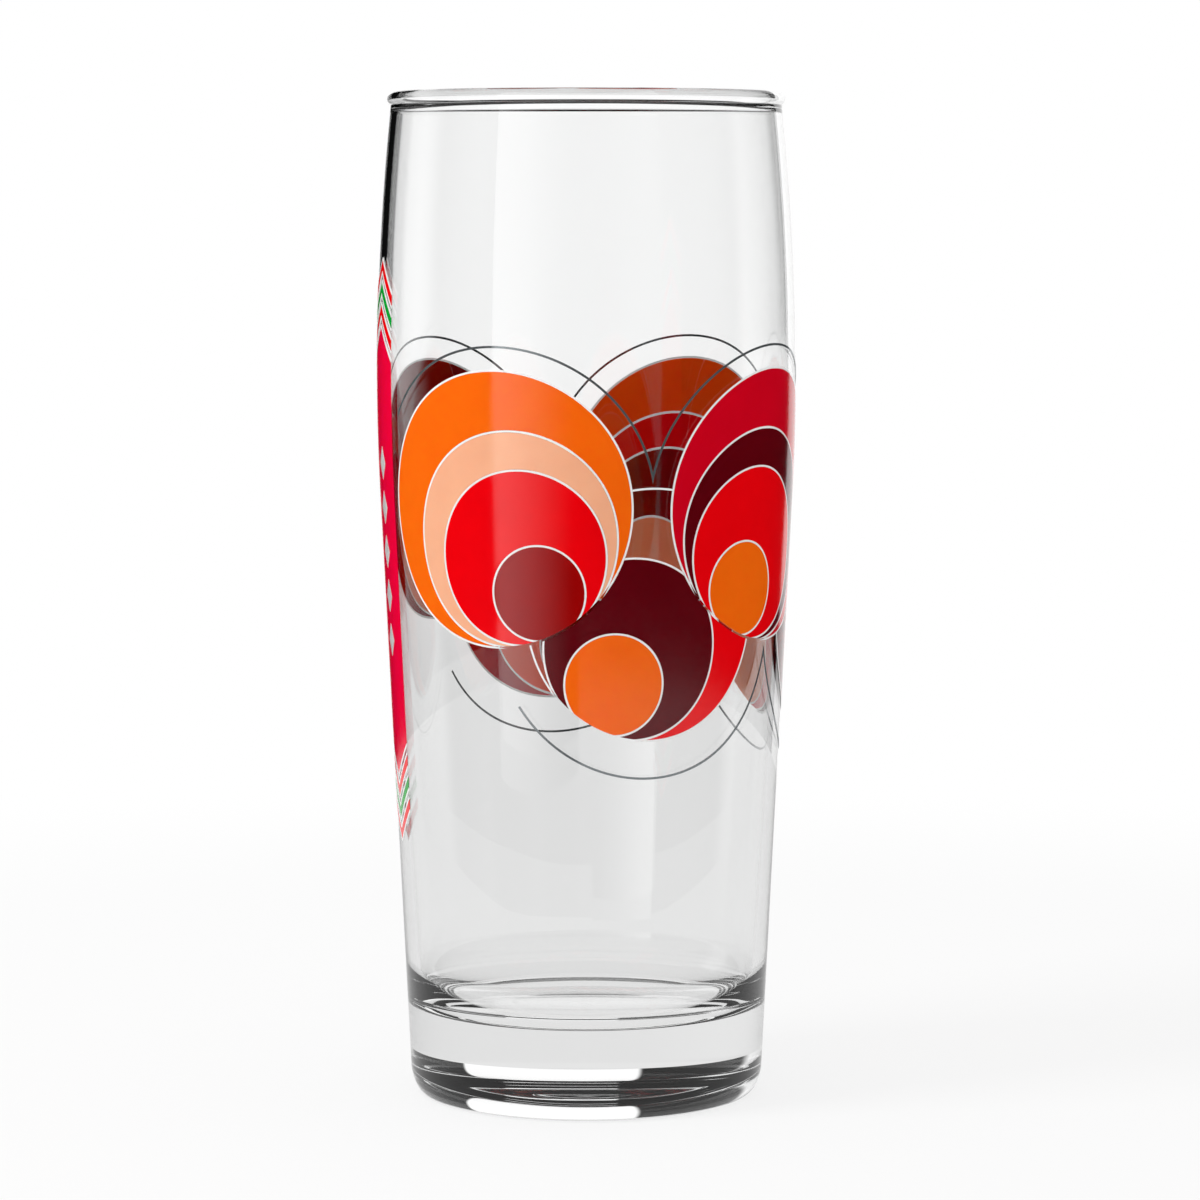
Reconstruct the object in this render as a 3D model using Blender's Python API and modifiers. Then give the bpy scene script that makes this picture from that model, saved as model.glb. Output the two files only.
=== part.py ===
"""Half-litre beer tumbler: one moulded glass body, and the films of ink printed round its wall.

The glass stands on the XY plane with its axis on Z. Sizes are in metres. The artwork is drawn flat in the
XZ plane, facing -Y, and is then wrapped round the wall, so that every patch of ink is a thin shell that
follows the glass.
"""

import math

import bmesh
import bpy
from mathutils import Matrix

# Driving dimensions of the glass
HEIGHT = 0.178
BELLY_RADIUS = 0.03703
BELLY_HEIGHT = 0.1288
BELLY_ARC = 0.435  # radius of the curve that carries the wall over the belly and in to the rim
TAPER = math.radians(2.82)  # lean of the straight lower wall
WALL_AT_RIM = 0.00124
WALL_AT_FLOOR = 0.0025
BEAD_PROUD = 0.00063  # how far the fire-polished rim stands out on both sides of the wall below it
BEAD_RADIUS = WALL_AT_RIM / 2 + BEAD_PROUD
FLOOR_HEIGHT = 0.0155  # thickness of the heavy base at the edge of the floor
FLOOR_DISH = 0.0001
FILLET_WIDTH = 0.0063  # the floor turns up into the wall in a quarter of an ellipse
FILLET_HEIGHT = 0.0089
HEEL_WIDTH = 0.0028  # so does the underside, round the heel
HEEL_HEIGHT = 0.0054
RING_INNER_RADIUS = 0.0145  # inner edge of the flat ring that the glass stands on
HOLLOW_DEPTH = 0.0003  # shallow hollow in the middle of the underside
TURN_STEPS = 64
TAPER_STEPS = 2  # how finely each stretch of the section is drawn
BELLY_STEPS = 6
FLOOR_STEPS = 2
FILLET_STEPS = 6
BEAD_STEPS = 10
HEEL_STEPS = 6
HOLLOW_STEPS = 2
WELD = 0.000001  # points closer than this are one point
SHARP_ANGLE = math.radians(30)  # edges that turn more than this keep a crisp line

# Driving dimensions of the print
FILM_GAP = 0.00016
FILM_THICKNESS = 0.00012
CUTTER_THICKNESS = 0.0005
WRAP_RADIUS = 0.036  # radius at which the flat artwork keeps its width
COLUMN_WIDTH = 0.0042  # a flat plate is cut into columns, and into rows over the belly, so that it can bend
ROW_HEIGHT = 0.014
DISC_SIDES = 36
KEYLINE = 0.0004  # clear gap between neighbouring colours

# The band of discs: an upper row in front, and a lower row that shows between and below it
UPPER_COUNT = 4
UPPER_RADIUS = 0.0235
UPPER_HEIGHT = 0.1065
LOWER_RADIUS = 0.0215
LOWER_HEIGHT = 0.0885
BAND_START = math.radians(-62.5)
BAND_END = math.radians(271.5)
UPPER_SHARES = (1.0, 0.78, 0.63, 0.34)  # radii of the nested discs against the whole disc, the core last
LOWER_SHARES = (1.0, 0.72, 0.40)
DISC_LEAN = math.radians(28)  # the nested discs lean left and right in turn
BITE = 0.0006  # how far each inner disc runs out over the edge where they meet

# The silver lines that run above and below the band
LINE_WIDTH = 0.0004
UPPER_LINE_OFFSET = 0.0042
LOWER_LINE_OFFSET = 0.0067
LINE_END = math.radians(34)  # each line stops this far above or below the level of its last disc's centre
LINE_STEPS = 10

# The upright stripe with its chevrons
STRIPE_ANGLE = math.radians(-75.5)
STRIPE_WIDTH = 0.0118
STRIPE_MIDDLE = 0.0975
STRIPE_HALF_HEIGHT = 0.0511  # from the middle to the tip of the outermost chevron
CHEVRON_DROP = 0.0060
CHEVRON_STROKE = 0.0018
CHEVRON_PITCH = 0.0039
CHEVRON_COLOURS = ("red", "green", "red")

# Ink colours, linear RGB
INKS = {
    "orange": (0.87, 0.17, 0.012),
    "peach": (0.88, 0.42, 0.26),
    "red": (0.78, 0.003, 0.012),
    "crimson": (0.60, 0.002, 0.020),
    "dark_red": (0.28, 0.002, 0.003),
    "maroon": (0.075, 0.001, 0.006),
    "green": (0.004, 0.33, 0.028),
    "silver": (0.25, 0.27, 0.28),
}
UPPER_COLOURS = (
    ("orange", "peach", "red", "dark_red"),
    ("crimson", "maroon", "red", "orange"),
    ("orange", "red", "dark_red", "peach"),
    ("dark_red", "peach", "crimson", "orange"),
)
LOWER_COLOURS = (
    ("red", "maroon", "orange"),
    ("maroon", "red", "peach"),
    ("crimson", "orange", "dark_red"),
)


def make_collection(name):
    collection = bpy.data.collections.new(name)
    bpy.context.scene.collection.children.link(collection)
    return collection


def make_material(name, colour, roughness, metallic=0.0, transmission=0.0):
    material = bpy.data.materials.new(name)
    material.use_nodes = True
    shader = material.node_tree.nodes["Principled BSDF"]
    shader.inputs["Base Color"].default_value = (*colour, 1.0)
    shader.inputs["Roughness"].default_value = roughness
    shader.inputs["Metallic"].default_value = metallic
    shader.inputs["Transmission Weight"].default_value = transmission
    return material


def belly_start():
    """Height at which the straight taper runs into the belly's arc."""
    return BELLY_HEIGHT - BELLY_ARC * math.sin(TAPER)


def outside_radius(z):
    """Radius of the outer wall at height z: a straight taper that runs smoothly into the belly's arc."""
    if z > belly_start():
        return BELLY_RADIUS - BELLY_ARC + math.sqrt(BELLY_ARC**2 - (z - BELLY_HEIGHT) ** 2)
    start_radius = BELLY_RADIUS - BELLY_ARC * (1 - math.cos(TAPER))
    return start_radius + (z - belly_start()) * math.tan(TAPER)


def inside_radius(z):
    """Radius of the inner wall at height z: the wall is thin at the rim and thickens towards the floor."""
    share = (HEIGHT - z) / (HEIGHT - FLOOR_HEIGHT)
    return outside_radius(z) - WALL_AT_RIM - (WALL_AT_FLOOR - WALL_AT_RIM) * share**2


def arc(centre, width, start, end, steps, height=None):
    """Points of a circular or elliptical arc from one angle to another, ends included."""
    height = height or width
    angles = [start + (end - start) * i / steps for i in range(steps + 1)]
    return [(centre[0] + width * math.cos(a), centre[1] + height * math.sin(a)) for a in angles]


def dished(edge_radius, edge_z, depth, steps):
    """Points of a shallow dish from the axis out to its edge, as a parabola."""
    shares = [i / steps for i in range(steps)]
    return [(edge_radius * s, edge_z - depth * (1 - s * s)) for s in shares]


def leaning_corner(wall_radius, level, width, height):
    """Centre of the quarter ellipse from a level face up into a leaning wall, and the angle where it ends."""
    lean = (wall_radius(level + height) - wall_radius(level)) / height
    end = -math.atan(height / width * lean)
    radius = wall_radius(level + height * (1 + math.sin(end)))
    return (radius - width * math.cos(end), level + height), end


def wall_heights(bottom, top):
    """Heights at which a wall is sampled: few on the straight taper, more over the belly."""
    start = belly_start()
    taper = [bottom + (start - bottom) * i / TAPER_STEPS for i in range(TAPER_STEPS)]
    return taper + [start + (top - start) * i / BELLY_STEPS for i in range(BELLY_STEPS + 1)]


def glass_profile():
    """Half section of the glass as (radius, height): up the inside, over the rim, and down the outside."""
    fillet_centre, fillet_end = leaning_corner(inside_radius, FLOOR_HEIGHT, FILLET_WIDTH, FILLET_HEIGHT)
    fillet = arc(fillet_centre, FILLET_WIDTH, -math.pi / 2, fillet_end, FILLET_STEPS, FILLET_HEIGHT)
    floor = dished(fillet_centre[0], FLOOR_HEIGHT, FLOOR_DISH, FLOOR_STEPS)

    crease = math.acos(1 - BEAD_PROUD / BEAD_RADIUS)
    wall_top = HEIGHT - BEAD_RADIUS * (1 + math.sin(crease))
    bead_centre = (outside_radius(wall_top) + BEAD_PROUD - BEAD_RADIUS, HEIGHT - BEAD_RADIUS)
    bead = arc(bead_centre, BEAD_RADIUS, math.pi + crease, -crease, BEAD_STEPS)

    heel_centre, heel_end = leaning_corner(outside_radius, 0.0, HEEL_WIDTH, HEEL_HEIGHT)
    heel = arc(heel_centre, HEEL_WIDTH, heel_end, -math.pi / 2, HEEL_STEPS, HEEL_HEIGHT)
    hollow = dished(RING_INNER_RADIUS, 0.0, -HOLLOW_DEPTH, HOLLOW_STEPS)

    inner_heights = wall_heights(fillet[-1][1], wall_top)[1:-1]
    outer_heights = wall_heights(heel[0][1], wall_top)[1:-1]
    inner_wall = [(inside_radius(z), z) for z in inner_heights]
    outer_wall = [(outside_radius(z), z) for z in reversed(outer_heights)]
    standing_ring = [(RING_INNER_RADIUS, 0.0)]
    return floor + fillet + inner_wall + bead + outer_wall + heel + standing_ring + hollow[::-1]


def make_glass(collection, material):
    """The moulded body: its half section turned about the axis."""
    points = [(radius, 0.0, z) for radius, z in glass_profile()]
    edges = [(i, i + 1) for i in range(len(points) - 1)]
    mesh = bpy.data.meshes.new("glass_body")
    mesh.from_pydata(points, edges, [])
    mesh.materials.append(material)
    glass = bpy.data.objects.new("glass_body", mesh)
    collection.objects.link(glass)
    turn = glass.modifiers.new("turn", "SCREW")
    turn.steps = TURN_STEPS
    turn.render_steps = TURN_STEPS
    turn.use_merge_vertices = True
    turn.merge_threshold = WELD
    turn.use_smooth_shade = True
    return glass


def flat_disc(collection, name, centre, radius, thickness=FILM_THICKNESS):
    """A round plate of ink in the flat artwork."""
    depth = FILM_GAP + FILM_THICKNESS / 2
    place = Matrix.Translation((centre[0], -depth, centre[1])) @ Matrix.Rotation(math.pi / 2, 4, "X")
    bm = bmesh.new()
    bmesh.ops.create_cone(
        bm,
        cap_ends=True,
        segments=DISC_SIDES,
        radius1=radius,
        radius2=radius,
        depth=thickness,
        matrix=place,
    )
    mesh = bpy.data.meshes.new(name)
    bm.to_mesh(mesh)
    bm.free()
    disc = bpy.data.objects.new(name, mesh)
    collection.objects.link(disc)
    return disc


def flat_outline(collection, name, corners):
    """A plate of ink with straight edges in the flat artwork, from its corners as (x, height)."""
    curve = bpy.data.curves.new(name, "CURVE")
    curve.dimensions = "2D"
    curve.fill_mode = "BOTH"
    curve.extrude = FILM_THICKNESS / 2
    spline = curve.splines.new("POLY")
    spline.points.add(len(corners) - 1)
    spline.use_cyclic_u = True
    for point, (x, z) in zip(spline.points, corners):
        point.co = (x, z, 0.0, 1.0)
    plate = bpy.data.objects.new(name, curve)
    collection.objects.link(plate)
    depth = FILM_GAP + FILM_THICKNESS / 2
    plate.matrix_world = Matrix.Translation((0.0, -depth, 0.0)) @ Matrix.Rotation(math.pi / 2, 4, "X")
    return plate


def cut_away(plate, cutters):
    """Subtract each cutter from a flat plate."""
    for cutter in cutters:
        cutter.hide_render = True
        cutter.display_type = "WIRE"
        cut = plate.modifiers.new("cut", "BOOLEAN")
        cut.operation = "DIFFERENCE"
        cut.solver = "EXACT"
        cut.object = cutter


def flat_mesh(plate):
    """The finished flat plate as a mesh in world coordinates; the plate itself is then removed."""
    bpy.context.view_layer.update()
    evaluated = plate.evaluated_get(bpy.context.evaluated_depsgraph_get())
    mesh = bpy.data.meshes.new_from_object(evaluated)
    mesh.transform(plate.matrix_world)
    bpy.data.objects.remove(plate)
    return mesh


def islands(bm):
    """The separate bodies of a mesh, as lists of vertices."""
    left = set(bm.verts)
    found = []
    while left:
        front = [left.pop()]
        island = []
        while front:
            vertex = front.pop()
            island.append(vertex)
            near = [edge.other_vert(vertex) for edge in vertex.link_edges]
            front += [other for other in near if other in left]
            left.difference_update(near)
        found.append(island)
    return found


def extent(island):
    """Height from the lowest to the highest point of a body."""
    heights = [vertex.co.z for vertex in island]
    return max(heights) - min(heights)


def keep_tallest(bm):
    """Leave only the tallest body, so that a cut patch of ink stays one piece."""
    for island in sorted(islands(bm), key=extent)[:-1]:
        bmesh.ops.delete(bm, geom=island, context="VERTS")


def slice_plate(bm, axis, step, start):
    """Cut a flat plate into even strips along one axis, from a starting place on, so that it can bend."""
    places = [vertex.co[axis] for vertex in bm.verts]
    normal = [0.0, 0.0, 0.0]
    normal[axis] = 1.0
    first = math.ceil((max(min(places), start) - start) / step)
    last = math.floor((max(places) - start) / step)
    for index in range(first, last + 1):
        point = [(start + step * index) * share for share in normal]
        geometry = bm.verts[:] + bm.edges[:] + bm.faces[:]
        bmesh.ops.bisect_plane(bm, geom=geometry, dist=WELD / 10, plane_co=point, plane_no=normal)


def wrap(vertex):
    """Carry a vertex of the flat artwork onto the wall: x is the way round, z the height, -y the depth."""
    angle = vertex.co.x / WRAP_RADIUS
    radius = outside_radius(vertex.co.z) - vertex.co.y
    vertex.co = (radius * math.sin(angle), -radius * math.cos(angle), vertex.co.z)


def make_film(collection, name, plate, material):
    """One patch of ink: a flat plate, sliced and wrapped round the wall."""
    mesh = flat_mesh(plate)
    mesh.name = name
    bm = bmesh.new()
    bm.from_mesh(mesh)
    bmesh.ops.remove_doubles(bm, verts=bm.verts, dist=WELD)
    keep_tallest(bm)
    slice_plate(bm, 0, COLUMN_WIDTH, -math.pi * WRAP_RADIUS)
    slice_plate(bm, 2, ROW_HEIGHT, belly_start())
    bmesh.ops.remove_doubles(bm, verts=bm.verts, dist=WELD)
    bmesh.ops.triangulate(bm, faces=bm.faces)
    for vertex in bm.verts:
        wrap(vertex)
    bm.to_mesh(mesh)
    bm.free()
    mesh.materials.clear()
    mesh.materials.append(material)
    mesh.shade_smooth()
    mesh.set_sharp_from_angle(angle=SHARP_ANGLE)
    film = bpy.data.objects.new(name, mesh)
    collection.objects.link(film)
    return film


def disc_centres():
    """Flat centres of the upper and lower discs, spaced evenly along the band."""
    start = BAND_START * WRAP_RADIUS + UPPER_RADIUS
    end = BAND_END * WRAP_RADIUS - UPPER_RADIUS
    spacing = (end - start) / (UPPER_COUNT - 1)
    upper = [(start + spacing * i, UPPER_HEIGHT) for i in range(UPPER_COUNT)]
    lower = [(start + spacing * (i + 0.5), LOWER_HEIGHT) for i in range(UPPER_COUNT - 1)]
    return upper, lower


def nested(centre, radius, shares, lean):
    """Centres and radii of one disc and the smaller ones inside it, which all meet its edge near its foot."""
    rounds = []
    for share in shares:
        reach = radius * (1 - share) + BITE * (share < 1)
        inner_centre = (centre[0] + reach * math.sin(lean), centre[1] - reach * math.cos(lean))
        rounds.append((inner_centre, radius * share))
    return rounds


def make_disc(parts, cutters, name, rounds, inks, covers):
    """The films of one disc, each cut back from the next one in and from the discs that lie over it."""
    for index, (centre, radius) in enumerate(rounds):
        plate = flat_disc(parts, "flat", centre, radius)
        above = rounds[index + 1 : index + 2] + covers
        tools = [flat_disc(cutters, "cutter", spot, wide + KEYLINE, CUTTER_THICKNESS) for spot, wide in above]
        if index > 0:
            tools.append(outside_of(cutters, *rounds[0]))
        cut_away(plate, tools)
        label = "core" if index == len(rounds) - 1 else f"crescent_{index + 1}"
        make_film(parts, f"{name}_{label}", plate, inks[index])
        for tool in tools:
            bpy.data.objects.remove(tool)


def outside_of(cutters, centre, radius):
    """A cutter that trims a nested disc to the edge of the whole disc: a thick plate with a round hole."""
    ring = flat_disc(cutters, "trim", centre, 2 * radius, CUTTER_THICKNESS)
    hole = flat_disc(cutters, "hole", centre, radius, 2 * CUTTER_THICKNESS)
    cut_away(ring, [hole])
    mesh = flat_mesh(ring)
    bpy.data.objects.remove(hole)
    trim = bpy.data.objects.new("trim", mesh)
    cutters.objects.link(trim)
    return trim


def make_band(parts, cutters, inks):
    """Both rows of discs. The upper ones are whole and the lower ones are cut back from them."""
    upper, lower = disc_centres()
    for index, centre in enumerate(upper):
        colours = [inks[colour] for colour in UPPER_COLOURS[index]]
        rounds = nested(centre, UPPER_RADIUS, UPPER_SHARES, DISC_LEAN * (-1) ** index)
        make_disc(parts, cutters, f"upper_disc_{index + 1}", rounds, colours, [])
    for index, centre in enumerate(lower):
        colours = [inks[colour] for colour in LOWER_COLOURS[index]]
        rounds = nested(centre, LOWER_RADIUS, LOWER_SHARES, -DISC_LEAN * (-1) ** index)
        covers = [(upper[index], UPPER_RADIUS), (upper[index + 1], UPPER_RADIUS)]
        make_disc(parts, cutters, f"lower_disc_{index + 1}", rounds, colours, covers)


def scallop(centres, radius, side):
    """Points of a line of arcs round the discs of one row, meeting in cusps between them."""
    half = (centres[1][0] - centres[0][0]) / 2
    cusp = math.acos(half / radius)
    points = []
    for centre in centres:
        left = LINE_END if centre == centres[0] else cusp
        right = LINE_END if centre == centres[-1] else cusp
        points += arc(centre, radius, side * (math.pi - left), side * right, LINE_STEPS)
    return points


def make_line(parts, name, centres, radius, side, material):
    """One silver line: the strip between two scallops a line's width apart."""
    outer = scallop(centres, radius + LINE_WIDTH / 2, side)
    inner = scallop(centres, radius - LINE_WIDTH / 2, side)
    plate = flat_outline(parts, "flat", outer + inner[::-1])
    make_film(parts, name, plate, material)


def make_lines(parts, material):
    upper, lower = disc_centres()
    make_line(parts, "upper_silver_line", upper, UPPER_RADIUS + UPPER_LINE_OFFSET, 1, material)
    make_line(parts, "lower_silver_line", lower, LOWER_RADIUS + LOWER_LINE_OFFSET, -1, material)


def make_stripe(parts, inks):
    """The upright bar with pointed ends, and three chevrons beyond each end."""
    x = STRIPE_ANGLE * WRAP_RADIUS
    half = STRIPE_WIDTH / 2
    tip = STRIPE_HALF_HEIGHT - len(CHEVRON_COLOURS) * CHEVRON_PITCH
    right = [(x, tip), (x + half, tip - CHEVRON_DROP), (x + half, CHEVRON_DROP - tip), (x, -tip)]
    left = [(x - half, CHEVRON_DROP - tip), (x - half, tip - CHEVRON_DROP)]
    corners = [(px, STRIPE_MIDDLE + pz) for px, pz in right + left]
    make_film(parts, "stripe_bar", flat_outline(parts, "flat", corners), inks["red"])
    for end, side in (("top", 1), ("bottom", -1)):
        for index, colour in enumerate(CHEVRON_COLOURS):
            peak = STRIPE_HALF_HEIGHT - index * CHEVRON_PITCH
            upper_edge = [(-half, peak - CHEVRON_DROP), (0.0, peak), (half, peak - CHEVRON_DROP)]
            lower_edge = [(px, pz - CHEVRON_STROKE) for px, pz in reversed(upper_edge)]
            corners = [(x + px, STRIPE_MIDDLE + side * pz) for px, pz in upper_edge + lower_edge]
            name = f"{end}_chevron_{index + 1}"
            make_film(parts, name, flat_outline(parts, "flat", corners), inks[colour])


def main():
    for leftover in list(bpy.data.objects):
        bpy.data.objects.remove(leftover)
    parts = make_collection("beer_glass")
    cutters = make_collection("cutters")
    clear_glass = make_material("clear_glass", (1.0, 1.0, 1.0), 0.0, transmission=1.0)
    inks = {name: make_material(f"{name}_ink", colour, 0.25) for name, colour in INKS.items()}
    make_glass(parts, clear_glass)
    make_band(parts, cutters, inks)
    make_lines(parts, inks["silver"])
    make_stripe(parts, inks)


main()
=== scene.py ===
import math

import bpy
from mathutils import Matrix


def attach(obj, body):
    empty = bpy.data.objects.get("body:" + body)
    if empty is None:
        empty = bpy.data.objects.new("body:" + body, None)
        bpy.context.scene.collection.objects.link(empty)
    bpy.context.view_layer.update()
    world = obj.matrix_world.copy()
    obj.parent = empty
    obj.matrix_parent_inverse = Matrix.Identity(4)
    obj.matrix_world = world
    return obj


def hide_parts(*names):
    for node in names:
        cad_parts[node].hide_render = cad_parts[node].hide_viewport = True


# %% [markdown]
# # A printed beer glass
# The real object is one moulded tumbler of clear glass with films of coloured ink fired onto its wall. The
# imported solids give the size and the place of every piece, but their facets would show as kinks in the
# reflections. So the glass is turned again with many more steps, and each film of ink is cut again from a
# fine grid and wrapped round the wall.

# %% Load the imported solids
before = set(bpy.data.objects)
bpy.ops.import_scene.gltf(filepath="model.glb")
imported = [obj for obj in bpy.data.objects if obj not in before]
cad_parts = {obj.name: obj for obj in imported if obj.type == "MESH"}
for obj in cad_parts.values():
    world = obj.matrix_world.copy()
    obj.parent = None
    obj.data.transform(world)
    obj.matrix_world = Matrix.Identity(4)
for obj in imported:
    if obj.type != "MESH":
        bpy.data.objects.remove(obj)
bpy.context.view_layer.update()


# %% [markdown]
# ## The camera
# The picture is taken from just below the level of the rim with a long lens, which keeps the two walls
# nearly parallel. The place, the tilt and the lens come from the curves of the rim and the base, and from
# the edges of the wall.

# %% Camera
CAMERA_PLACE = (0.00244, -0.7816, 0.1580)
CAMERA_TILT = math.radians(90 - 5.11)
CAMERA_LENS = 132.13
SENSOR_WIDTH = 36.0
NEAREST_SEEN = 0.01

bpy.ops.object.select_all(action="DESELECT")
bpy.ops.object.camera_add(location=CAMERA_PLACE, rotation=(CAMERA_TILT, 0.0, 0.0))
camera = bpy.context.object
camera.name = "camera"
camera.data.lens = CAMERA_LENS
camera.data.sensor_width = SENSOR_WIDTH
camera.data.clip_start = NEAREST_SEEN
bpy.context.scene.camera = camera
bpy.context.scene.view_settings.view_transform = "Standard"
print("camera lens:", camera.data.lens)


# %% [markdown]
# ## Node helpers
# Every finish below is a small tree of nodes. Short helpers keep the trees easy to write: they add a node,
# feed a socket from a value or from another socket, do a sum, make a smooth step, pick one of two values,
# and start a material.

# %% Node helpers
def add_node(tree, kind, **fields):
    node = tree.nodes.new(kind)
    for field, value in fields.items():
        setattr(node, field, value)
    return node


def feed(tree, socket, source):
    if isinstance(source, bpy.types.NodeSocket):
        tree.links.new(source, socket)
    else:
        socket.default_value = source


def calculate(tree, operation, first, second=0.0):
    node = add_node(tree, "ShaderNodeMath", operation=operation)
    feed(tree, node.inputs[0], first)
    feed(tree, node.inputs[1], second)
    return node.outputs[0]


def ramp(tree, value, low, high, to_low=0.0, to_high=1.0):
    """A smooth step: to_low below low, to_high above high."""
    node = add_node(tree, "ShaderNodeMapRange", interpolation_type="SMOOTHSTEP")
    for socket, source in zip(node.inputs, (value, low, high, to_low, to_high)):
        feed(tree, socket, source)
    return node.outputs[0]


def choose(tree, share, low, high):
    """low where the share is 0, high where it is 1."""
    node = add_node(tree, "ShaderNodeMix", data_type="FLOAT")
    feed(tree, node.inputs["Factor"], share)
    feed(tree, node.inputs["A"], low)
    feed(tree, node.inputs["B"], high)
    return node.outputs["Result"]


def between(tree, angle, ends, soft):
    """1 where an angle lies between two ends in degrees, 0 elsewhere."""
    low, high = [math.radians(end) for end in ends]
    past_low = ramp(tree, angle, low - soft, low + soft)
    return calculate(tree, "MULTIPLY", past_low, ramp(tree, angle, high - soft, high + soft, 1.0, 0.0))


def new_material(name):
    material = bpy.data.materials.new(name)
    material.use_nodes = True
    return material, material.node_tree, material.node_tree.nodes["Principled BSDF"]


print("node helpers ready")


# %% [markdown]
# ## The studio
# Clear glass has no look of its own: it shows what is round it. It is photographed before a white panel,
# with dark flags at the sides of the panel and dark above and in front, so that the rim, the heel and the
# edges draw themselves in dark lines. The world does that here. A ray that goes through the walls sees the
# panel, the flags and the table. One that was also mirrored inside the glass finds the front dark, and a
# ray mirrored off the outside sees only the panel. A ray that lights a matt surface sees an even, plain
# level, so that each ink renders about as its colour is written. The lens itself sees plain white.

# %% World
PLAIN_LEVEL = 1.0
DARK_LEVEL = 0.004
PANEL_LEVEL = 1.06
PANEL_SIDES = (-12.0, 32.0)  # degrees to the right, from straight behind the glass
PANEL_TOP = 30.0  # degrees up from level
FLAG_SIDES = (-55.0, 85.0)
TABLE_END = -2.0  # degrees up from level, where the table meets the panel
TABLE_NEAR = -7.5
TABLE_LEVEL = 0.79
FRONT_FADE = (0.1, 0.35)  # how far a direction points away from the lens, from 0 to 1
SOFT_EDGE = math.radians(0.8)
FLAG_SOFTNESS = 6 * SOFT_EDGE

world = bpy.data.worlds.new("studio")
bpy.context.scene.world = world
world.use_nodes = True
tree = world.node_tree
background = tree.nodes["Background"]
background.inputs["Color"].default_value = (1.0, 1.0, 1.0, 1.0)
direction = add_node(tree, "ShaderNodeSeparateXYZ")
coordinates = add_node(tree, "ShaderNodeTexCoord")
tree.links.new(coordinates.outputs["Generated"], direction.inputs[0])
path = add_node(tree, "ShaderNodeLightPath")
side, depth, height = direction.outputs
round_angle = calculate(tree, "ARCTAN2", side, depth)
up_angle = calculate(tree, "ARCSINE", height)
panel = calculate(tree, "MULTIPLY", between(tree, round_angle, PANEL_SIDES, SOFT_EDGE), PANEL_LEVEL)
flags = between(tree, round_angle, FLAG_SIDES, FLAG_SOFTNESS)
behind = calculate(tree, "MAXIMUM", panel, calculate(tree, "SUBTRACT", 1.0, flags))
top = math.radians(PANEL_TOP)
under_top = ramp(tree, up_angle, top - SOFT_EDGE, top + SOFT_EDGE, 1.0, 0.0)
end = math.radians(TABLE_END)
above_table = ramp(tree, up_angle, end - SOFT_EDGE, end + SOFT_EDGE)
table = ramp(tree, up_angle, math.radians(TABLE_NEAR), end, TABLE_LEVEL, PANEL_LEVEL)
in_front = ramp(tree, depth, *FRONT_FADE, 1.0, 0.0)
straight = choose(tree, above_table, table, choose(tree, in_front, behind, PANEL_LEVEL))
turned = choose(tree, in_front, choose(tree, above_table, table, behind), 0.0)
reflections = calculate(tree, "MINIMUM", path.outputs["Glossy Depth"], 1.0)
through_glass = choose(tree, reflections, straight, turned)
picture = choose(tree, path.outputs["Is Transmission Ray"], panel, through_glass)
picture = calculate(tree, "ADD", calculate(tree, "MULTIPLY", picture, under_top), DARK_LEVEL)
seen = choose(tree, path.outputs["Is Camera Ray"], picture, 1.0)
lighting = calculate(tree, "MINIMUM", path.outputs["Diffuse Depth"], 1.0)
strength = choose(tree, lighting, seen, PLAIN_LEVEL)
tree.links.new(strength, background.inputs["Strength"])
print("world nodes:", len(tree.nodes))


# %% [markdown]
# ## The floor
# The glass stands on a white table. The table is a flat disc just under the standing ring. The lens sees it
# almost as pure white. Near the glass a share of real shading keeps the soft shadow, and that share fades
# out towards the rim of the disc, so that no edge shows. Through the glass the table is an even, slightly
# grey white.

# %% Floor
FLOOR_RADIUS = 0.42
FLOOR_DROP = 0.00004
FLOOR_WHITE = 0.80
FLOOR_SIDES = 96
TABLE_GREY = 0.66

bpy.ops.object.select_all(action="DESELECT")
bpy.ops.mesh.primitive_circle_add(
    vertices=FLOOR_SIDES, radius=FLOOR_RADIUS, fill_type="NGON", location=(0.0, 0.0, -FLOOR_DROP)
)
floor = bpy.context.object
floor.name = "table"
floor_paint, tree, shader = new_material("table_white")
shader.inputs["Base Color"].default_value = (TABLE_GREY, TABLE_GREY, TABLE_GREY, 1.0)
shader.inputs["Roughness"].default_value = 1.0
shader.inputs["Specular IOR Level"].default_value = 0.0
glow = add_node(tree, "ShaderNodeEmission")
path = add_node(tree, "ShaderNodeLightPath")
blend = add_node(tree, "ShaderNodeMixShader")
feed(tree, glow.inputs["Strength"], choose(tree, path.outputs["Is Camera Ray"], TABLE_LEVEL, 1.0))
place = add_node(tree, "ShaderNodeTexCoord")
away = add_node(tree, "ShaderNodeVectorMath", operation="LENGTH")
tree.links.new(place.outputs["Object"], away.inputs[0])
white_share = ramp(tree, away.outputs["Value"], FLOOR_RADIUS / 2, FLOOR_RADIUS, FLOOR_WHITE, 1.0)
direct = calculate(tree, "MULTIPLY", path.outputs["Is Camera Ray"], white_share)
by_glass = calculate(tree, "MAXIMUM", path.outputs["Is Transmission Ray"], path.outputs["Is Glossy Ray"])
feed(tree, blend.inputs[0], calculate(tree, "MAXIMUM", direct, by_glass))
tree.links.new(shader.outputs[0], blend.inputs[1])
tree.links.new(glow.outputs[0], blend.inputs[2])
tree.links.new(blend.outputs[0], tree.nodes["Material Output"].inputs["Surface"])
floor.data.materials.append(floor_paint)
print("table radius:", FLOOR_RADIUS)


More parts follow.
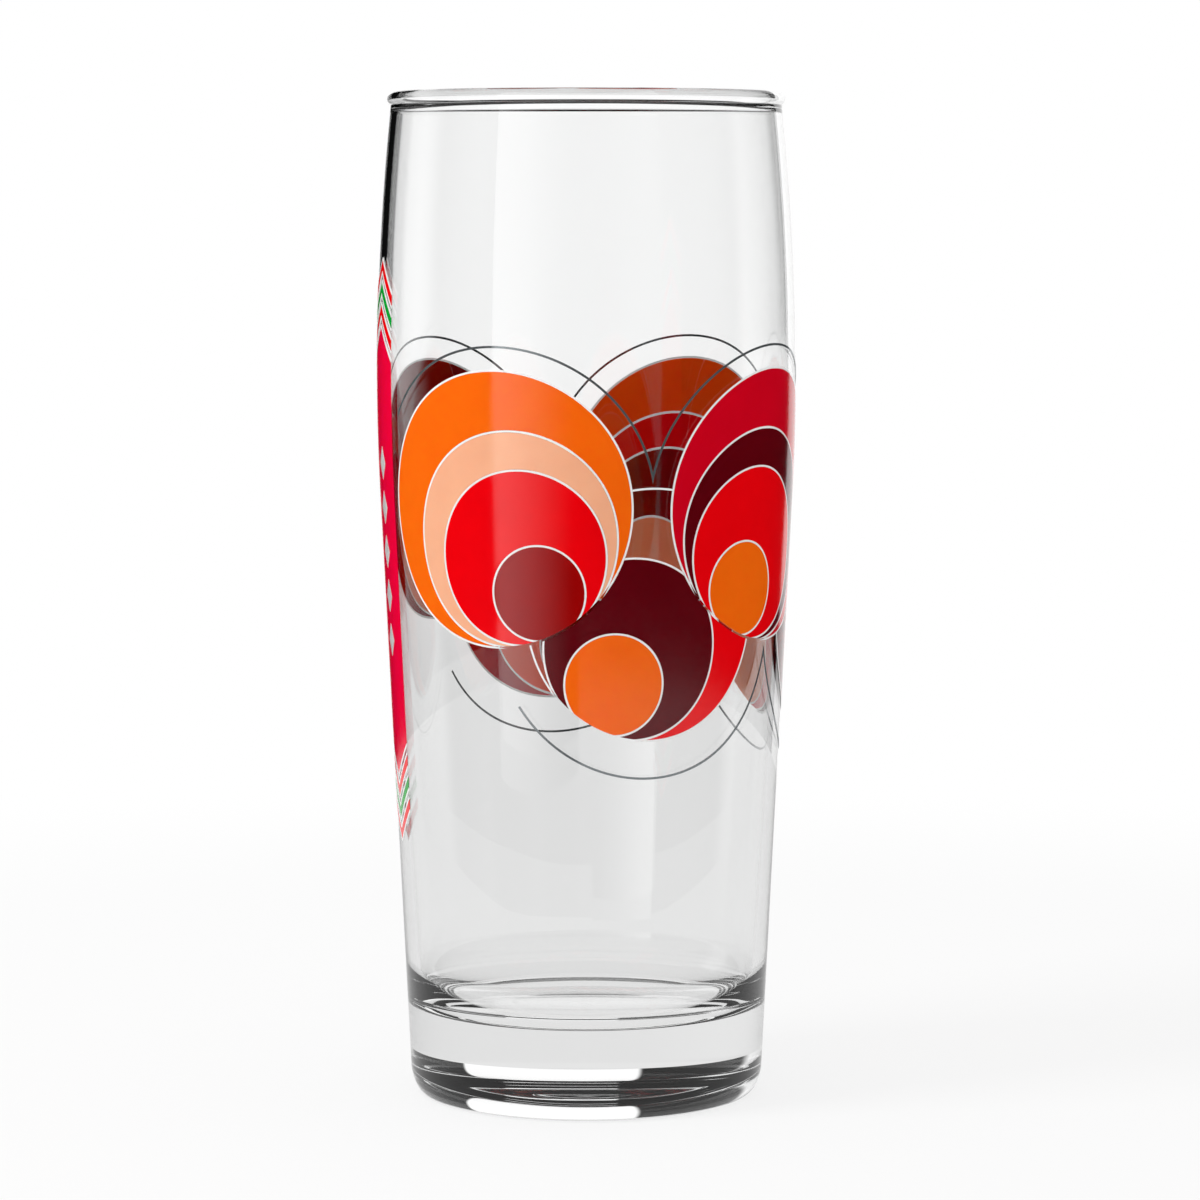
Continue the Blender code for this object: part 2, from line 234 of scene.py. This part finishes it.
# %% [markdown]
# ## The lights
# A soft light stands in front on the left. Its left edge is crisp and it fades to the right. That gives the
# print its one upright sheen, and its image in the far wall gives a paler one low on the right. It is a
# card that glows, turned to face the glass. Only rays that a surface has mirrored meet it, so it never
# stands in the view through the glass. For rays that come out of the glass its upper part is dim, since the
# bare glass up there is nearly white already. A key lamp higher up on the same side adds the shadow on the
# table. It leaves no second spot in the gloss.

# %% Soft light
CARD_DISTANCE = 0.303
CARD_SIDES = (-49.0, -4.0)  # degrees round the glass, from the lens towards the right
CARD_TOP = 0.40


def round_glass(distance, angle):
    """A point on the table at an angle round the glass, counted from the lens towards the right."""
    return (distance * math.sin(math.radians(angle)), -distance * math.cos(math.radians(angle)))


card_left, card_right = [round_glass(CARD_DISTANCE, angle) for angle in CARD_SIDES]
card_middle = [(left + right) / 2 for left, right in zip(card_left, card_right)]
card_run = [right - left for left, right in zip(card_left, card_right)]
card_turn = math.atan2(card_run[1], card_run[0])
bpy.ops.object.select_all(action="DESELECT")
bpy.ops.mesh.primitive_plane_add(
    size=1.0, location=(*card_middle, CARD_TOP / 2), rotation=(math.pi / 2, 0.0, card_turn)
)
card = bpy.context.object
card.scale = (math.hypot(*card_run), CARD_TOP, 1.0)
card.name = "soft_light"
card.visible_camera = False
card.visible_shadow = False
print("soft light width:", round(card.scale.x, 3))

# %% Glow of the soft light
CARD_GLOW = 1.65
DIM_FROM, DIM_TO = -0.38, -0.22  # heights on the card, which runs from -0.5 to 0.5
DIM_SHARE = 0.15

card_paint, tree, shader = new_material("soft_light")
tree.nodes.remove(shader)
glow = add_node(tree, "ShaderNodeEmission")
clear = add_node(tree, "ShaderNodeBsdfTransparent")
mirrored = add_node(tree, "ShaderNodeMixShader")
path = add_node(tree, "ShaderNodeLightPath")
place = add_node(tree, "ShaderNodeTexCoord")
spot = add_node(tree, "ShaderNodeSeparateXYZ")
tree.links.new(place.outputs["Object"], spot.inputs[0])
across = ramp(tree, spot.outputs[0], -0.5, 0.5, CARD_GLOW, 0.0)
upward = ramp(tree, spot.outputs[1], DIM_FROM, DIM_TO, 1.0, DIM_SHARE)
dimmed = choose(tree, path.outputs["Is Transmission Ray"], 1.0, upward)
feed(tree, glow.inputs["Strength"], calculate(tree, "MULTIPLY", across, dimmed))
feed(tree, mirrored.inputs[0], calculate(tree, "MINIMUM", path.outputs["Glossy Depth"], 1.0))
tree.links.new(clear.outputs[0], mirrored.inputs[1])
tree.links.new(glow.outputs[0], mirrored.inputs[2])
tree.links.new(mirrored.outputs[0], tree.nodes["Material Output"].inputs["Surface"])
card.data.materials.append(card_paint)
print("soft light glow:", CARD_GLOW)

# %% Key lamp
KEY_DISTANCE = 1.2
KEY_SIDE = -62.0  # degrees round the glass, from the lens towards the right
KEY_RISE = math.radians(50)
KEY_SIZE = 0.35
KEY_POWER = 6.5

key_spot = round_glass(KEY_DISTANCE * math.cos(KEY_RISE), KEY_SIDE)
key_place = (*key_spot, KEY_DISTANCE * math.sin(KEY_RISE))
key_turn = (math.pi / 2 - KEY_RISE, 0.0, math.radians(KEY_SIDE))
bpy.ops.object.select_all(action="DESELECT")
bpy.ops.object.light_add(type="AREA", location=key_place, rotation=key_turn)
key = bpy.context.object
key.name = "key_light"
key.data.size = KEY_SIZE
key.data.energy = KEY_POWER
key.visible_glossy = False
key.visible_transmission = False
print("key lamp power:", key.data.energy)


# %% [markdown]
# ## The glass body
# The tumbler is pressed and blown in one piece: a heavy base with a hollow under it, a straight taper, a
# gentle belly and a rim melted to a bead. A round thing like this can be made by scaling rings or by
# turning a section. Turning is chosen, because the section then carries every radius of the real glass, and
# the wall keeps its true thickness.

# %% Section of the glass
HEIGHT = 0.178
BELLY_RADIUS = 0.03703
BELLY_HEIGHT = 0.1288
BELLY_ARC = 0.435
TAPER = math.radians(2.82)
WALL_AT_RIM = 0.00124
WALL_AT_FLOOR = 0.0025
BEAD_PROUD = 0.00063
BEAD_RADIUS = WALL_AT_RIM / 2 + BEAD_PROUD
FLOOR_HEIGHT = 0.0155
FLOOR_DISH = 0.0001
FILLET_WIDTH = 0.0063
FILLET_HEIGHT = 0.0089
HEEL_WIDTH = 0.0028
HEEL_HEIGHT = 0.0054
RING_INNER_RADIUS = 0.0145
HOLLOW_DEPTH = 0.0003
BELLY_START = BELLY_HEIGHT - BELLY_ARC * math.sin(TAPER)
WALL_STEPS = 120
BEAD_STEPS = 60
CORNER_STEPS = 40
HOLLOW_STEPS = 20
FLOOR_STEPS = 12


def outside_radius(z):
    if z > BELLY_START:
        return BELLY_RADIUS - BELLY_ARC + math.sqrt(BELLY_ARC**2 - (z - BELLY_HEIGHT) ** 2)
    start_radius = BELLY_RADIUS - BELLY_ARC * (1 - math.cos(TAPER))
    return start_radius + (z - BELLY_START) * math.tan(TAPER)


def inside_radius(z):
    share = (HEIGHT - z) / (HEIGHT - FLOOR_HEIGHT)
    return outside_radius(z) - WALL_AT_RIM - (WALL_AT_FLOOR - WALL_AT_RIM) * share**2


def arc(centre, width, start, end, steps, height=None):
    height = height or width
    angles = [start + (end - start) * i / steps for i in range(steps + 1)]
    return [(centre[0] + width * math.cos(a), centre[1] + height * math.sin(a)) for a in angles]


def dished(edge_radius, edge_z, depth, steps):
    shares = [i / steps for i in range(steps)]
    return [(edge_radius * s, edge_z - depth * (1 - s * s)) for s in shares]


def leaning_corner(wall_radius, level, width, height):
    """Centre of the quarter ellipse from a level face up into a leaning wall, and the angle where it ends."""
    lean = (wall_radius(level + height) - wall_radius(level)) / height
    end = -math.atan(height / width * lean)
    radius = wall_radius(level + height * (1 + math.sin(end)))
    return (radius - width * math.cos(end), level + height), end


def even_heights(bottom, top, steps):
    return [bottom + (top - bottom) * i / steps for i in range(1, steps + 1)]


def glass_section():
    """Half section as (radius, height): along the floor, up the inside, over the rim, down and under."""
    fillet_centre, fillet_end = leaning_corner(inside_radius, FLOOR_HEIGHT, FILLET_WIDTH, FILLET_HEIGHT)
    fillet = arc(fillet_centre, FILLET_WIDTH, -math.pi / 2, fillet_end, CORNER_STEPS, FILLET_HEIGHT)
    crease = math.acos(1 - BEAD_PROUD / BEAD_RADIUS)
    wall_top = HEIGHT - BEAD_RADIUS * (1 + math.sin(crease))
    bead_centre = (outside_radius(wall_top) + BEAD_PROUD - BEAD_RADIUS, HEIGHT - BEAD_RADIUS)
    bead = arc(bead_centre, BEAD_RADIUS, math.pi + crease, -crease, BEAD_STEPS)
    heel_centre, heel_end = leaning_corner(outside_radius, 0.0, HEEL_WIDTH, HEEL_HEIGHT)
    heel = arc(heel_centre, HEEL_WIDTH, heel_end, -math.pi / 2, CORNER_STEPS, HEEL_HEIGHT)
    inner_heights = even_heights(fillet[-1][1], wall_top, WALL_STEPS)[:-1]
    outer_heights = even_heights(heel[0][1], wall_top, WALL_STEPS)[:-1]
    inner_wall = [(inside_radius(z), z) for z in inner_heights]
    outer_wall = [(outside_radius(z), z) for z in reversed(outer_heights)]
    inner_floor = dished(fillet_centre[0], FLOOR_HEIGHT, FLOOR_DISH, FLOOR_STEPS)
    hollow = dished(RING_INNER_RADIUS, 0.0, -HOLLOW_DEPTH, HOLLOW_STEPS)
    underside = [(RING_INNER_RADIUS, 0.0)] + hollow[::-1]
    return inner_floor + fillet + inner_wall + bead + outer_wall + heel + underside


section = glass_section()
print("section points:", len(section))

# %% Turn the section
TURN_STEPS = 200
WELD = 0.000001

bpy.ops.object.select_all(action="DESELECT")
bpy.ops.mesh.primitive_plane_add(size=0.01)
tumbler = bpy.context.object
tumbler.name = "tumbler"
tumbler.data.name = "tumbler"
bpy.ops.object.mode_set(mode="EDIT")
bpy.ops.mesh.select_all(action="SELECT")
bpy.ops.mesh.merge(type="CENTER")
bpy.ops.transform.translate(value=(section[0][0], 0.0, section[0][1]))
for (radius, z), (next_radius, next_z) in zip(section, section[1:]):
    step = (next_radius - radius, 0.0, next_z - z)
    bpy.ops.mesh.extrude_vertices_move(TRANSFORM_OT_translate={"value": step})
bpy.ops.mesh.select_all(action="SELECT")
bpy.ops.mesh.spin(steps=TURN_STEPS, angle=2 * math.pi, center=(0.0, 0.0, 0.0), axis=(0.0, 0.0, 1.0))
bpy.ops.mesh.select_all(action="SELECT")
bpy.ops.mesh.remove_doubles(threshold=WELD)
bpy.ops.mesh.normals_make_consistent(inside=False)
bpy.ops.object.mode_set(mode="OBJECT")
bpy.ops.object.shade_smooth()
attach(tumbler, "root")
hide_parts("glass_body")
print("tumbler faces:", len(tumbler.data.polygons))


# %% [markdown]
# ## Clear glass
# The glass is colourless and polished by fire, so it is a plain refractive surface. Blown glass is never
# perfectly even: a very faint, slow waviness in the bump bends the lines behind it a little, as in the real
# wall.

# %% Glass finish
GLASS_INDEX = 1.52
GLASS_TINT = (0.996, 0.998, 0.997, 1.0)
WAVE_SCALE = 45.0
WAVE_STRENGTH = 0.05
WAVE_DEPTH = 0.0002

clear_glass, tree, shader = new_material("clear_glass")
shader.inputs["Base Color"].default_value = GLASS_TINT
shader.inputs["Roughness"].default_value = 0.0
shader.inputs["IOR"].default_value = GLASS_INDEX
shader.inputs["Transmission Weight"].default_value = 1.0
place = add_node(tree, "ShaderNodeTexCoord")
wave = add_node(tree, "ShaderNodeTexNoise")
wave.inputs["Scale"].default_value = WAVE_SCALE
wave.inputs["Detail"].default_value = 1.0
ripple = add_node(tree, "ShaderNodeBump")
ripple.inputs["Strength"].default_value = WAVE_STRENGTH
ripple.inputs["Distance"].default_value = WAVE_DEPTH
tree.links.new(place.outputs["Object"], wave.inputs["Vector"])
tree.links.new(wave.outputs["Fac"], ripple.inputs["Height"])
tree.links.new(ripple.outputs["Normal"], shader.inputs["Normal"])
tumbler.data.materials.clear()
tumbler.data.materials.append(clear_glass)
print("glass index:", GLASS_INDEX)


# %% [markdown]
# ## Flat artwork, wrapped round the wall
# A printed film is drawn flat and then laid round the glass. The films are made the same way: a grid is
# moved to its flat outline in the XZ plane and given a thickness, and each of its points is then carried to
# the wall. Its x becomes the way round, its z stays the height, and its depth is added to the wall's own
# radius there. A fine grid bends smoothly.

# %% Plates and the wrap
FILM_GAP = 0.00004
FILM_THICKNESS = 0.00009
WRAP_RADIUS = 0.036
CELL = 0.0013
SMOOTH_UNDER = math.radians(40)


def ink_plate(name, columns, rows, outline, depth=FILM_GAP, thickness=FILM_THICKNESS):
    """A thin plate. outline turns the shares across and up a grid, from 0 to 1, into a flat place (x, z)."""
    bpy.ops.object.select_all(action="DESELECT")
    bpy.ops.mesh.primitive_grid_add(x_subdivisions=columns, y_subdivisions=rows, size=1.0)
    plate = bpy.context.object
    plate.name = name
    plate.data.name = name
    for vertex in plate.data.vertices:
        x, z = outline(vertex.co.x + 0.5, vertex.co.y + 0.5)
        vertex.co = (x, -depth, z)
    bpy.ops.object.mode_set(mode="EDIT")
    bpy.ops.mesh.select_all(action="SELECT")
    bpy.ops.mesh.remove_doubles(threshold=WELD)
    bpy.ops.object.mode_set(mode="OBJECT")
    wall = plate.modifiers.new("film", "SOLIDIFY")
    wall.thickness = thickness
    wall.offset = 1.0
    bpy.ops.object.modifier_apply(modifier=wall.name)
    return plate


def wrap(plate):
    """Carry every point of a flat plate to the wall of the glass."""
    for vertex in plate.data.vertices:
        angle = vertex.co.x / WRAP_RADIUS
        radius = outside_radius(vertex.co.z) - vertex.co.y
        vertex.co = (radius * math.sin(angle), -radius * math.cos(angle), vertex.co.z)


def finish_film(film, material, node=None):
    """Wrap a film, shade it, colour it and set it on the glass."""
    wrap(film)
    bpy.ops.object.select_all(action="DESELECT")
    film.select_set(True)
    bpy.context.view_layer.objects.active = film
    bpy.ops.object.shade_smooth_by_angle(angle=SMOOTH_UNDER)
    film.data.materials.clear()
    film.data.materials.append(material)
    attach(film, "root")
    if node:
        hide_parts(node)


print("plate helpers ready")


# %% [markdown]
# ## Printed ink
# Fired ink is a thin, smooth, glossy enamel. Close up it has a fine orange peel, which breaks the edge of
# the sheen into grains, and its colour is a little uneven where the screen laid it down thicker or thinner.
# Some light comes through it, so that the print on the far wall shows its colours on the inside too.

# %% Ink finishes
INKS = {
    "orange": (0.92, 0.14, 0.004),
    "peach": (0.88, 0.42, 0.26),
    "red": (0.78, 0.001, 0.004),
    "stripe_red": (0.80, 0.001, 0.042),
    "crimson": (0.58, 0.001, 0.012),
    "dark_red": (0.31, 0.001, 0.001),
    "maroon": (0.11, 0.001, 0.004),
    "green": (0.004, 0.33, 0.028),
    "silver": (0.25, 0.27, 0.28),
    "white": (0.86, 0.86, 0.85),
}
SILVER_SHINE = 0.7
PEEL_SCALE = 1500.0
PEEL_STRENGTH = 0.12
PEEL_DEPTH = 0.00004
PEEL_ROUGHNESS = (0.09, 0.15)
LAYDOWN_SCALE = 160.0
LAYDOWN_CHANGE = 0.07
INK_TRANSLUCENCE = 1.0
INK_REACH = 0.0002


def ink_finish(name, colour, metallic=0.0):
    material, tree, shader = new_material(f"{name}_ink")
    place = add_node(tree, "ShaderNodeTexCoord")
    peel = add_node(tree, "ShaderNodeTexNoise")
    peel.inputs["Scale"].default_value = PEEL_SCALE
    peel.inputs["Detail"].default_value = 2.0
    laydown = add_node(tree, "ShaderNodeTexNoise")
    laydown.inputs["Scale"].default_value = LAYDOWN_SCALE
    laydown.inputs["Detail"].default_value = 4.0
    for noise in (peel, laydown):
        tree.links.new(place.outputs["Object"], noise.inputs["Vector"])
    tone = add_node(tree, "ShaderNodeMixRGB")
    tree.links.new(laydown.outputs["Fac"], tone.inputs["Fac"])
    thin = [channel * (1 - LAYDOWN_CHANGE) for channel in colour]
    thick = [min(channel * (1 + LAYDOWN_CHANGE), 1.0) for channel in colour]
    tone.inputs["Color1"].default_value = (*thin, 1.0)
    tone.inputs["Color2"].default_value = (*thick, 1.0)
    tree.links.new(tone.outputs["Color"], shader.inputs["Base Color"])
    feed(tree, shader.inputs["Roughness"], ramp(tree, peel.outputs["Fac"], 0.3, 0.7, *PEEL_ROUGHNESS))
    shader.inputs["Metallic"].default_value = metallic
    shader.inputs["Subsurface Weight"].default_value = INK_TRANSLUCENCE
    shader.inputs["Subsurface Radius"].default_value = (1.0, 1.0, 1.0)
    shader.inputs["Subsurface Scale"].default_value = INK_REACH
    bump = add_node(tree, "ShaderNodeBump")
    bump.inputs["Strength"].default_value = PEEL_STRENGTH
    bump.inputs["Distance"].default_value = PEEL_DEPTH
    tree.links.new(peel.outputs["Fac"], bump.inputs["Height"])
    tree.links.new(bump.outputs["Normal"], shader.inputs["Normal"])
    return material


ink = {}
for name, colour in INKS.items():
    ink[name] = ink_finish(name, colour, SILVER_SHINE if name == "silver" else 0.0)
print("inks:", sorted(ink))


# %% [markdown]
# ## The band of discs
# The band is two rows of round motifs. Each one is a set of discs inside each other that lean together near
# the foot, so that only crescents of the outer ones show. The upper row lies over the lower one, and a hair
# of clear glass is left between neighbouring colours. Each colour is its own film, cut from a thin grid
# plate with round cutters.

# %% Layout of the discs
KEYLINE = 0.0004
UPPER_COUNT = 4
UPPER_RADIUS = 0.0235
UPPER_HEIGHT = 0.1065
LOWER_RADIUS = 0.0215
LOWER_HEIGHT = 0.0885
BAND_START = math.radians(-62.5)
BAND_END = math.radians(271.5)
UPPER_SHARES = (1.0, 0.78, 0.63, 0.34)
LOWER_SHARES = (1.0, 0.72, 0.40)
DISC_LEAN = math.radians(28)
BITE = 0.0006
UPPER_COLOURS = (
    ("orange", "peach", "red", "dark_red"),
    ("crimson", "maroon", "red", "orange"),
    ("orange", "red", "dark_red", "peach"),
    ("dark_red", "peach", "crimson", "orange"),
)
LOWER_COLOURS = (
    ("red", "maroon", "orange"),
    ("maroon", "red", "peach"),
    ("crimson", "orange", "dark_red"),
)


def disc_centres():
    start = BAND_START * WRAP_RADIUS + UPPER_RADIUS
    end = BAND_END * WRAP_RADIUS - UPPER_RADIUS
    spacing = (end - start) / (UPPER_COUNT - 1)
    upper = [(start + spacing * i, UPPER_HEIGHT) for i in range(UPPER_COUNT)]
    lower = [(start + spacing * (i + 0.5), LOWER_HEIGHT) for i in range(UPPER_COUNT - 1)]
    return upper, lower


def nested(centre, radius, shares, lean):
    """Centres and radii of one disc and the smaller ones inside it, which all meet its edge near its foot."""
    rounds = []
    for share in shares:
        reach = radius * (1 - share) + BITE * (share < 1)
        inner_centre = (centre[0] + reach * math.sin(lean), centre[1] - reach * math.cos(lean))
        rounds.append((inner_centre, radius * share))
    return rounds


upper_centres, lower_centres = disc_centres()
print("discs:", len(upper_centres), "above,", len(lower_centres), "below")

# %% Cut the discs
CUTTER_SIDES = 144
CUTTER_DEPTH = 0.004
PLATE_MARGIN = 0.0007


def round_cut(plate, operation, centre, radius):
    """Cut a plate with a round cutter, then take the cutter away."""
    bpy.ops.object.select_all(action="DESELECT")
    bpy.ops.mesh.primitive_cylinder_add(
        vertices=CUTTER_SIDES,
        radius=radius,
        depth=CUTTER_DEPTH,
        location=(centre[0], 0.0, centre[1]),
        rotation=(math.pi / 2, 0.0, 0.0),
    )
    cutter = bpy.context.object
    bpy.context.view_layer.objects.active = plate
    cut = plate.modifiers.new("cut", "BOOLEAN")
    cut.operation = operation
    cut.solver = "EXACT"
    cut.object = cutter
    bpy.ops.object.modifier_apply(modifier=cut.name)
    bpy.data.objects.remove(cutter)


def keep_tallest(plate):
    """Where cutting left scraps, keep only the tallest piece."""
    name = plate.name
    bpy.ops.object.select_all(action="DESELECT")
    plate.select_set(True)
    bpy.context.view_layer.objects.active = plate
    bpy.ops.mesh.separate(type="LOOSE")
    pieces = sorted(bpy.context.selected_objects, key=lambda piece: piece.dimensions.z)
    for scrap in pieces[:-1]:
        bpy.data.objects.remove(scrap)
    pieces[-1].name = name
    pieces[-1].data.name = name
    return pieces[-1]


def square_outline(centre, half):
    def outline(u, v):
        return (centre[0] - half + u * (2 * half), centre[1] - half + v * (2 * half))

    return outline


def cut_disc(name, rounds, colours, covers):
    """The films of one disc, each cut back from the next one in and from the discs that lie over it."""
    for index, (centre, radius) in enumerate(rounds):
        label = "core" if index == len(rounds) - 1 else f"crescent_{index + 1}"
        half = radius + PLATE_MARGIN
        cells = round(2 * half / CELL)
        plate = ink_plate(f"{name}_{label}_ink", cells, cells, square_outline(centre, half))
        round_cut(plate, "INTERSECT", centre, radius)
        if index > 0:
            round_cut(plate, "INTERSECT", *rounds[0])
        for spot, wide in rounds[index + 1 : index + 2] + covers:
            round_cut(plate, "DIFFERENCE", spot, wide + KEYLINE)
        plate = keep_tallest(plate)
        finish_film(plate, ink[colours[index]], f"{name}_{label}")


discs = []
for index, centre in enumerate(upper_centres):
    upper_rounds = nested(centre, UPPER_RADIUS, UPPER_SHARES, DISC_LEAN * (-1) ** index)
    discs.append((f"upper_disc_{index + 1}", upper_rounds, UPPER_COLOURS[index], []))
for index, centre in enumerate(lower_centres):
    lower_rounds = nested(centre, LOWER_RADIUS, LOWER_SHARES, -DISC_LEAN * (-1) ** index)
    covering = [(upper_centres[index], UPPER_RADIUS), (upper_centres[index + 1], UPPER_RADIUS)]
    discs.append((f"lower_disc_{index + 1}", lower_rounds, LOWER_COLOURS[index], covering))
for disc in discs:
    cut_disc(*disc)
    print("cut", disc[0])


# %% [markdown]
# ## White keylines
# A fine white line runs along the edge of each colour. It fills the hair of glass that was left between
# them. Each line is a ring of grid, cut back where another disc lies over it, and the rings of one disc are
# joined into one piece.

# %% Keylines
KEYLINE_INSET = 0.00003


def ring_plate(name, centre, inner, outer):
    """A flat ring. It is laid clockwise, so that its face still looks outwards."""
    def place(u, v):
        angle = -2 * math.pi * u
        radius = inner + (outer - inner) * v
        return (centre[0] + radius * math.cos(angle), centre[1] + radius * math.sin(angle))

    return ink_plate(name, CUTTER_SIDES, 1, place)


def join(pieces, name):
    bpy.ops.object.select_all(action="DESELECT")
    for piece in pieces:
        piece.select_set(True)
    bpy.context.view_layer.objects.active = pieces[0]
    bpy.ops.object.join()
    pieces[0].name = name
    pieces[0].data.name = name
    return pieces[0]


def keylines(name, rounds, covers):
    rings = []
    for index, (centre, radius) in enumerate(rounds):
        ring = ring_plate("ring", centre, radius + KEYLINE_INSET, radius + KEYLINE - KEYLINE_INSET)
        if index > 0:
            round_cut(ring, "INTERSECT", *rounds[0])
        for spot, wide in rounds[index + 1 :] + covers:
            round_cut(ring, "DIFFERENCE", spot, wide + KEYLINE)
        if ring.data.polygons:
            rings.append(ring)
        else:
            bpy.data.objects.remove(ring)
    finish_film(join(rings, f"{name}_keylines"), ink["white"])


for name, rounds, colours, covers in discs:
    keylines(name, rounds, covers)
print("keylines:", len(discs))


# %% [markdown]
# ## The silver lines
# A thin silver line runs above the band and another below it, in one arc round each disc. A strip of grid
# is moved onto the arcs point by point, which is easier than bending a straight strip.

# %% Silver lines
LINE_WIDTH = 0.0004
UPPER_LINE_OFFSET = 0.0042
LOWER_LINE_OFFSET = 0.0067
LINE_END = math.radians(34)
ARC_STEPS = 48


def scallop(centres, radius, side):
    """Points of a line of arcs round the discs of one row, meeting in cusps between them."""
    half = (centres[1][0] - centres[0][0]) / 2
    cusp = math.acos(half / radius)
    points = []
    for centre in centres:
        left = LINE_END if centre == centres[0] else cusp
        right = LINE_END if centre == centres[-1] else cusp
        points += arc(centre, radius, side * (math.pi - left), side * right, ARC_STEPS)
    return points


def silver_line(node, centres, radius, side):
    upper_edge = scallop(centres, radius + side * LINE_WIDTH / 2, side)
    lower_edge = scallop(centres, radius - side * LINE_WIDTH / 2, side)
    last = len(upper_edge) - 1

    def outline(u, v):
        edge = upper_edge if v > 0.5 else lower_edge
        return edge[round(u * last)]

    finish_film(ink_plate(f"{node}_ink", last, 1, outline), ink["silver"], node)


silver_line("upper_silver_line", upper_centres, UPPER_RADIUS + UPPER_LINE_OFFSET, 1)
silver_line("lower_silver_line", lower_centres, LOWER_RADIUS + LOWER_LINE_OFFSET, -1)
print("silver lines made")


# %% [markdown]
# ## The stripe and its chevrons
# At the left an upright red bar with pointed ends runs up the wall, with three chevrons beyond each end.
# All of them are strips of grid whose rows are pushed into a point: the further a point is from the middle
# line, the lower it sits.

# %% Stripe
STRIPE_ANGLE = math.radians(-75.5)
STRIPE_WIDTH = 0.0118
STRIPE_MIDDLE = 0.0975
STRIPE_HALF_HEIGHT = 0.0511
CHEVRON_DROP = 0.0060
CHEVRON_STROKE = 0.0018
CHEVRON_PITCH = 0.0039
CHEVRON_COLOURS = ("red", "green", "red")
STRIPE_COLUMNS = 12
BAR_ROWS = 60
CHEVRON_ROWS = 2

stripe_x = STRIPE_ANGLE * WRAP_RADIUS
stripe_half = STRIPE_WIDTH / 2
bar_tip = STRIPE_HALF_HEIGHT - len(CHEVRON_COLOURS) * CHEVRON_PITCH


def bar_outline(u, v):
    across = 2 * u - 1
    reach = bar_tip - CHEVRON_DROP * abs(across)
    return (stripe_x + across * stripe_half, STRIPE_MIDDLE + (2 * v - 1) * reach)


def chevron_outline(peak, stroke, side):
    """The outline of a pointed strip. peak is how far its tip is from the middle of the stripe."""
    def outline(u, v):
        across = 2 * u - 1
        far_edge = peak - CHEVRON_DROP * abs(across)
        inward = 1 - v if side > 0 else v
        return (stripe_x + across * stripe_half, STRIPE_MIDDLE + side * (far_edge - stroke * inward))

    return outline


bar = ink_plate("stripe_bar_ink", STRIPE_COLUMNS, BAR_ROWS, bar_outline)
finish_film(bar, ink["stripe_red"], "stripe_bar")
for end, side in (("top", 1), ("bottom", -1)):
    for index, colour in enumerate(CHEVRON_COLOURS):
        node = f"{end}_chevron_{index + 1}"
        outline = chevron_outline(STRIPE_HALF_HEIGHT - index * CHEVRON_PITCH, CHEVRON_STROKE, side)
        chevron = ink_plate(f"{node}_ink", STRIPE_COLUMNS, CHEVRON_ROWS, outline)
        finish_film(chevron, ink[colour], node)
print("bar height:", round(bar.dimensions.z, 4))

# %% White trim of the stripe
OUTLINE_STROKE = 0.0005
OUTLINE_GAP = 0.00002
LOZENGE_COUNT = 5
LOZENGE_PITCH = 0.0078
LOZENGE_HALF = (0.0019, 0.0029)
LOZENGE_GRID = (4, 6)


def lozenge_outline(height):
    def outline(u, v):
        across, up = 2 * u - 1, 2 * v - 1
        return (stripe_x + across * LOZENGE_HALF[0] * (1 - abs(up)), height + up * LOZENGE_HALF[1])

    return outline


trims = []
for side in (1, -1):
    for index in range(len(CHEVRON_COLOURS) + 1):
        peak = STRIPE_HALF_HEIGHT - index * CHEVRON_PITCH + OUTLINE_STROKE + OUTLINE_GAP
        trims.append(ink_plate("trim", STRIPE_COLUMNS, 1, chevron_outline(peak, OUTLINE_STROKE, side)))
    for index in range(len(CHEVRON_COLOURS)):
        peak = STRIPE_HALF_HEIGHT - index * CHEVRON_PITCH - CHEVRON_STROKE - OUTLINE_GAP
        trims.append(ink_plate("trim", STRIPE_COLUMNS, 1, chevron_outline(peak, OUTLINE_STROKE, side)))
finish_film(join(trims, "stripe_trim"), ink["white"])

on_bar = FILM_GAP + FILM_THICKNESS + OUTLINE_GAP
lozenges = []
for index in range(LOZENGE_COUNT):
    height = STRIPE_MIDDLE + (index - (LOZENGE_COUNT - 1) / 2) * LOZENGE_PITCH
    outline = lozenge_outline(height)
    lozenges.append(ink_plate("lozenge", *LOZENGE_GRID, outline, on_bar, FILM_THICKNESS / 3))
finish_film(join(lozenges, "stripe_lozenges"), ink["white"])
print("white trim made")
